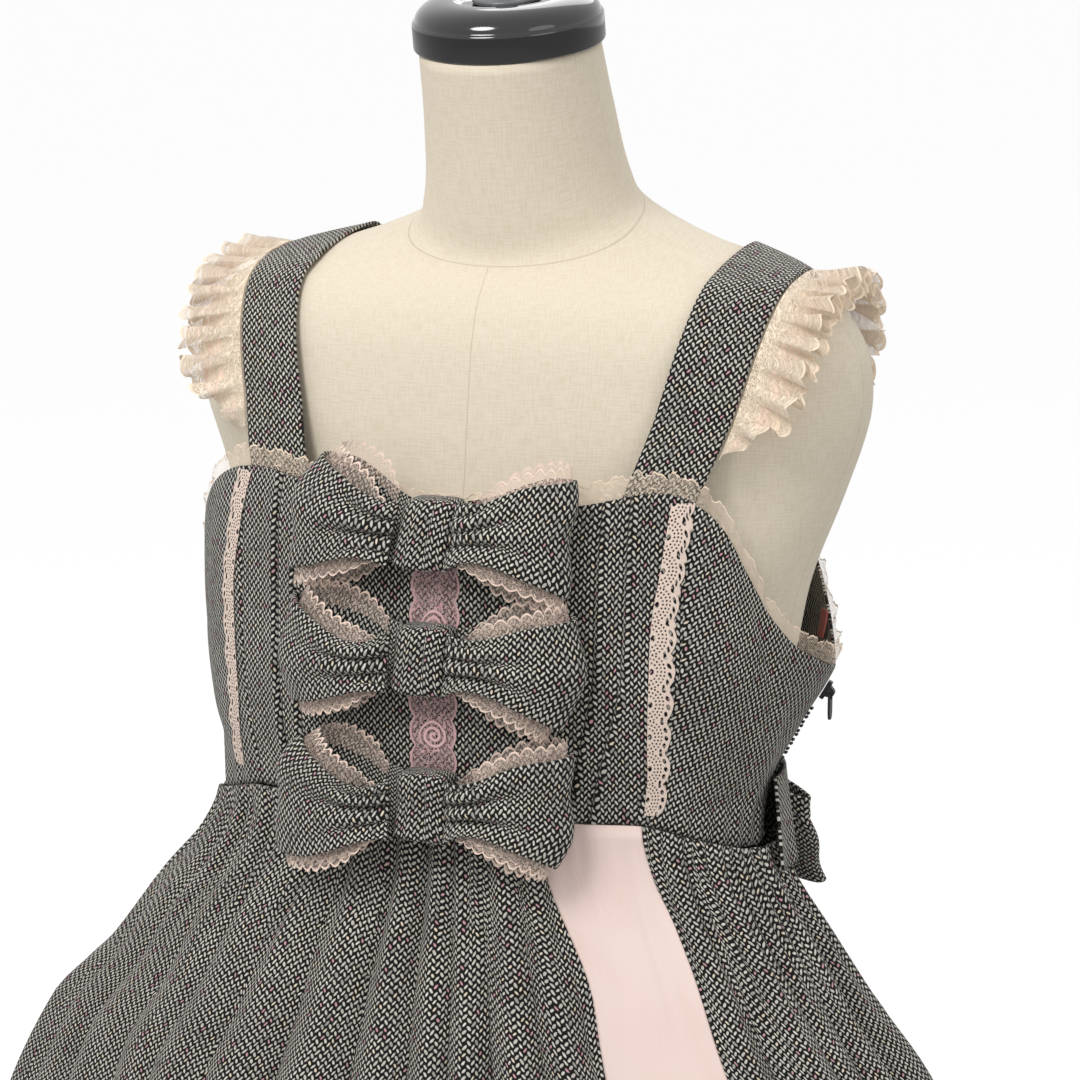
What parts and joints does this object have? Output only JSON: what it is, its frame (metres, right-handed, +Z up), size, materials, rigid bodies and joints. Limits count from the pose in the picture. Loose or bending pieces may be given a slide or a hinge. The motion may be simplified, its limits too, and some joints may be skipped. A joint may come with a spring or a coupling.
{
  "type": "pinafore dress on a dress form",
  "caption": "Sleeveless tweed pinafore dress with lace frills, front bows, a satin inset and a gathered skirt, worn by a padded dress form on a round base.",
  "frame": {"origin": "centre of the round base's underside, on the floor", "axes": "+Z up, -Y towards the front of the dress, +X towards the wearer's left"},
  "size_m": [0.7458, 0.5119, 1.4581],
  "materials": {
    "tweed": "woven wool tweed, black and off-white flecks, matt, slightly hairy",
    "satin": "pale pink satin with a soft sheen",
    "lace": "cream-pink cotton lace on net, matt",
    "rose_lace": "rose-pink embroidered net, matt",
    "linen": "natural linen cover, plain weave, matt",
    "gloss_black": "black lacquered cap, glossy",
    "stand_metal": "grey painted steel, satin finish",
    "zip_metal": "dark grey enamelled zinc",
    "ribbon": "rose-brown ribbon, plain weave"
  },
  "bodies": {
    "dress": {"base_disc": "stand_metal", "pole": "stand_metal", "form_torso": "linen", "neck_cap": "gloss_black", "cap_spindle": "stand_metal", "bodice_front": "tweed", "bodice_side_left": "tweed", "bodice_side_right": "tweed", "bodice_back": "tweed", "edging_front": "lace", "edging_back": "lace", "lace_trim_left": "lace", "lace_trim_right": "lace", "centre_lace": "rose_lace", "strap_left": "tweed", "strap_right": "tweed", "strap_ruffle_left": "lace", "strap_ruffle_right": "lace", "bow_top_left": "tweed", "bow_top_lace_left": "lace", "bow_top_right": "tweed", "bow_top_lace_right": "lace", "bow_top_knot": "tweed", "bow_middle_left": "tweed", "bow_middle_lace_left": "lace", "bow_middle_right": "tweed", "bow_middle_lace_right": "lace", "bow_middle_knot": "tweed", "bow_bottom_left": "tweed", "bow_bottom_lace_left": "lace", "bow_bottom_right": "tweed", "bow_bottom_lace_right": "lace", "bow_bottom_knot": "tweed", "skirt_front": "tweed", "satin_inset": "satin", "skirt_side_left": "tweed", "skirt_side_right": "tweed", "skirt_back": "tweed", "sash_left": "tweed", "sash_right": "tweed", "back_bow_left": "tweed", "back_bow_right": "tweed", "back_bow_knot": "tweed", "back_tail_left": "tweed", "back_tail_right": "tweed", "zip_slider": "zip_metal", "hanger_ribbon": "ribbon"},
    "pull_tab": {"pull_tab": "zip_metal"}
  },
  "joints": [
    {"name": "pull_tab_swing", "type": "hinge", "parent": "dress", "child": "pull_tab", "pos_m": [0.16437, -0.00337, 1.103], "axis": [0.1006, -0.9949, 0], "range_deg": [0, 120]}
  ]
}
